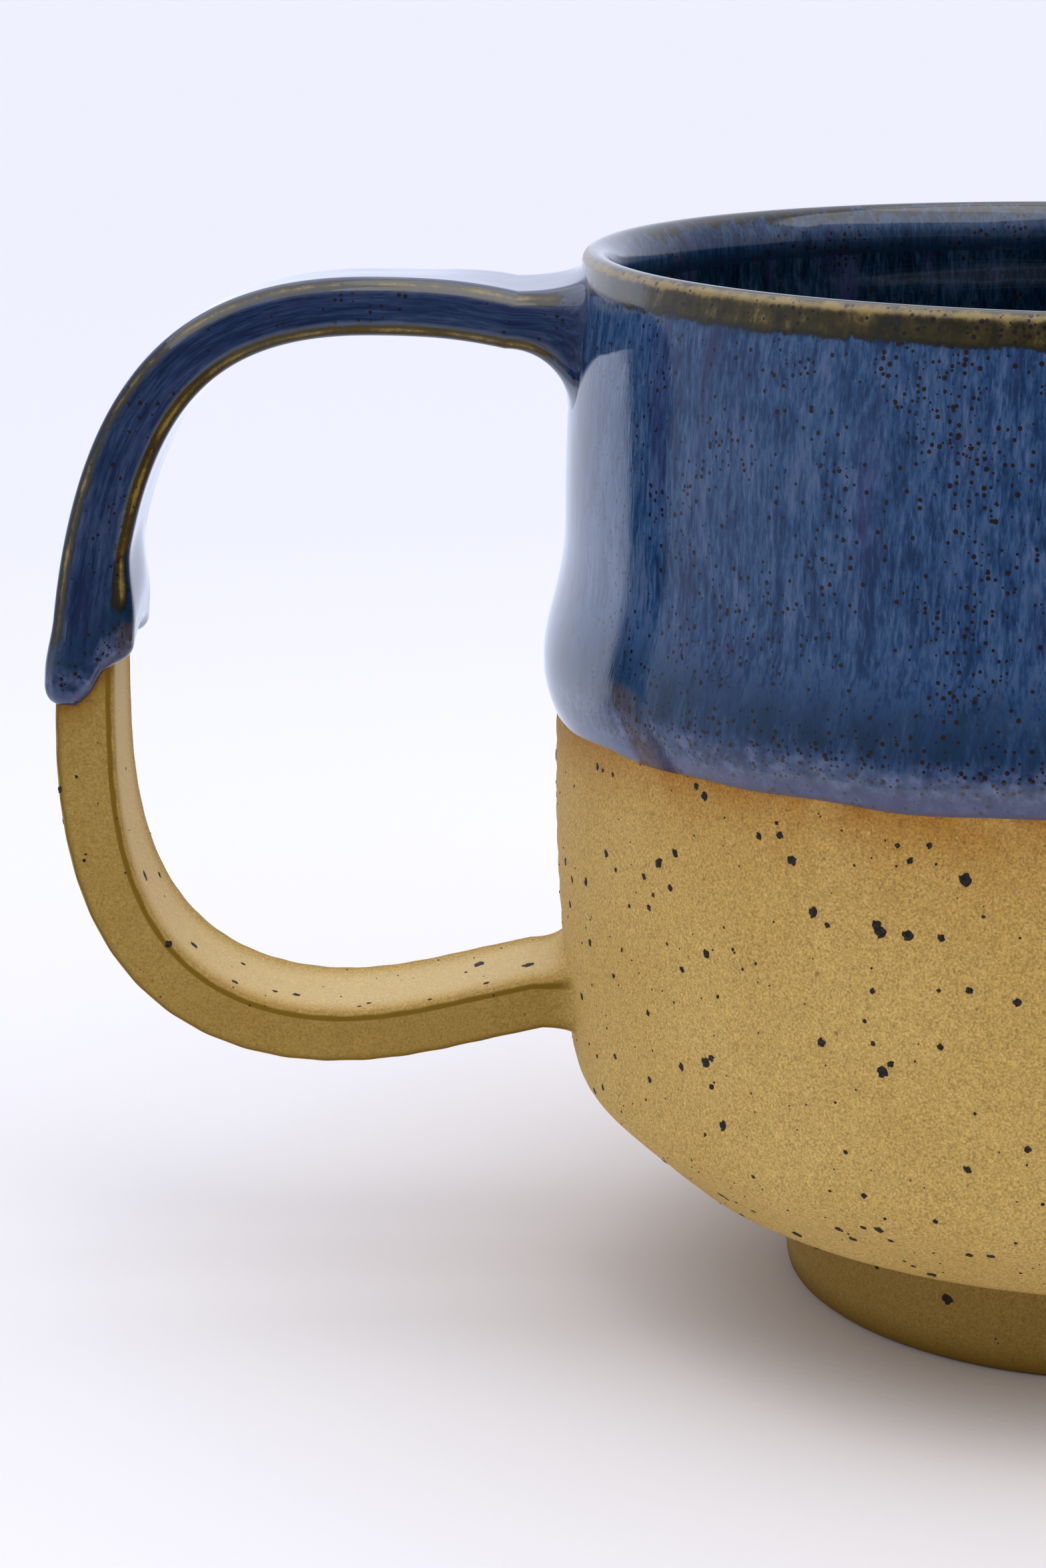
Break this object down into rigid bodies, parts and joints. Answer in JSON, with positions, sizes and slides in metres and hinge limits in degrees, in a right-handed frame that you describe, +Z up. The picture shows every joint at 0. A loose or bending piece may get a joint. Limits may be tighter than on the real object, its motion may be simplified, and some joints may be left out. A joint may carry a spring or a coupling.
{
  "type": "ceramic mug",
  "caption": "Stoneware mug with a straight wall, sloping belly and low foot, a pulled strap handle, blue glaze on its upper half and bare speckled clay below.",
  "frame": {"origin": "centre of the foot ring's resting face, on the cup's axis", "axes": "+Z up along the cup's axis, towards the lip; the handle points along -X"},
  "size_m": [0.1266, 0.0878, 0.083],
  "materials": {
    "clay": "matte",
    "blue_glaze": "gloss",
    "rim_glaze": "gloss",
    "liner_glaze": "gloss"
  },
  "bodies": {
    "root": {"cup_body": "clay", "foot_ring": "clay", "handle_strap": "clay", "upper_joint": "clay", "lower_joint": "clay", "inner_glaze": "liner_glaze", "rim_glaze": "rim_glaze", "outer_glaze": "blue_glaze", "handle_glaze": "blue_glaze", "joint_glaze": "blue_glaze"}
  },
  "joints": []
}
